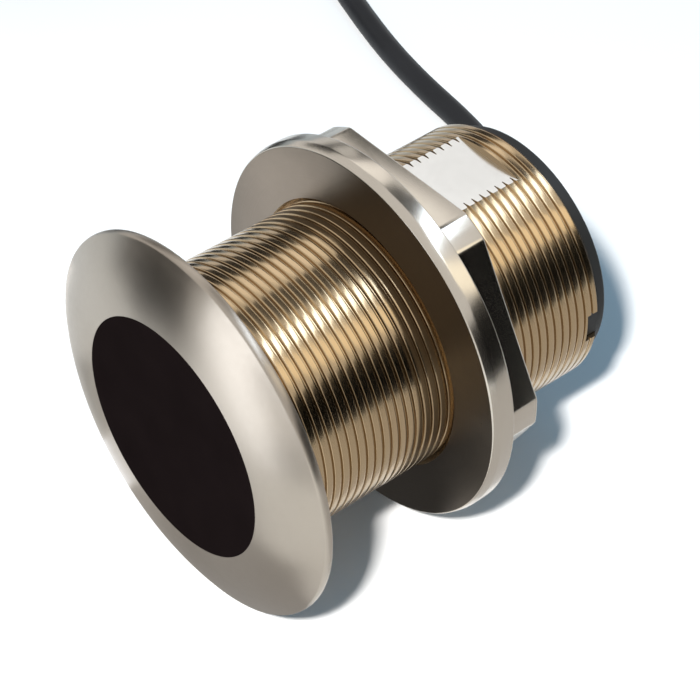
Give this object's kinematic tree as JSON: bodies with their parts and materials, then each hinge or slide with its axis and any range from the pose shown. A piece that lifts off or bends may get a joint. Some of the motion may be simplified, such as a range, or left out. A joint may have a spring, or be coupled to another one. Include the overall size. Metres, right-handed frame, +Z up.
{
  "type": "through-hull sonar transducer",
  "caption": "Bronze through-hull transducer: a black acoustic face in a flared flange, a threaded stem, a flanged hexagonal nut, a sealed rear cap and a coiled cable with a pin connector.",
  "frame": {"origin": "on the floor straight under the stem's axis, halfway from the acoustic face to the end of the cable's bush", "axes": "+X along the stem from the acoustic face to the cable end, +Z up, so the transducer lies on the rims of its flange and its nut"},
  "size_m": [0.1533, 0.2988, 0.073],
  "materials": {
    "bronze": "satin, turned and sealed",
    "window_urethane": "smooth cast urethane",
    "piezo_ceramic": "fired, with silvered faces",
    "cork": "fine-grained cork",
    "backing_foam": "closed-cell",
    "solder": "bright",
    "lead_insulation": "matt",
    "ground_insulation": "matt",
    "ferrite": "ground",
    "bobbin_plastic": "moulded",
    "enamelled_wire": "enamelled",
    "board_laminate": "satin resist",
    "chip_epoxy": "fine matt",
    "capacitor_ceramic": "fired",
    "terminal_brass": "tinned",
    "cable_jacket": "satin jacket",
    "ferrule_steel": "drawn",
    "potting_resin": "cast",
    "cap_plastic": "moulded",
    "bush_rubber": "moulded",
    "tie_nylon": "moulded",
    "grip_plastic": "moulded",
    "ring_nickel": "nickel-plated",
    "insert_plastic": "moulded",
    "contact_gold": "plated"
  },
  "bodies": {
    "transducer": {"housing": "bronze", "acoustic_window": "window_urethane", "ceramic_disc": "piezo_ceramic", "cork_sleeve": "cork", "backing_disc": "backing_foam", "solder_joints": "solder", "signal_lead": "lead_insulation", "ground_lead": "ground_insulation", "core_front": "ferrite", "core_rear": "ferrite", "bobbin": "bobbin_plastic", "winding": "enamelled_wire", "winding_leads": "enamelled_wire", "circuit_board": "board_laminate", "processor_chip": "chip_epoxy", "capacitors": "capacitor_ceramic", "board_terminals": "terminal_brass", "cable_conductors": "lead_insulation", "cable_inner": "cable_jacket", "anchor_ferrule": "ferrule_steel", "potting_fill": "potting_resin", "rear_cap": "cap_plastic", "cable_bush": "bush_rubber", "cable_lead": "cable_jacket", "cable_coil": "cable_jacket", "cable_tail": "cable_jacket", "coil_ties": "tie_nylon", "connector_grip": "grip_plastic", "connector_insert": "insert_plastic", "contact_pins": "contact_gold"},
    "nut": {"hull_nut": "bronze"},
    "ring": {"coupling_ring": "ring_nickel"}
  },
  "joints": [
    {"name": "nut_travel", "type": "slide", "parent": "transducer", "child": "nut", "axis": [1, 0, 0], "range_m": [-0.035, 0.024]},
    {"name": "ring_turn", "type": "hinge", "parent": "transducer", "child": "ring", "pos_m": [-0.0231, 0.17676, 0.0073], "axis": [-0.5, -0.866, 0], "continuous": true}
  ]
}
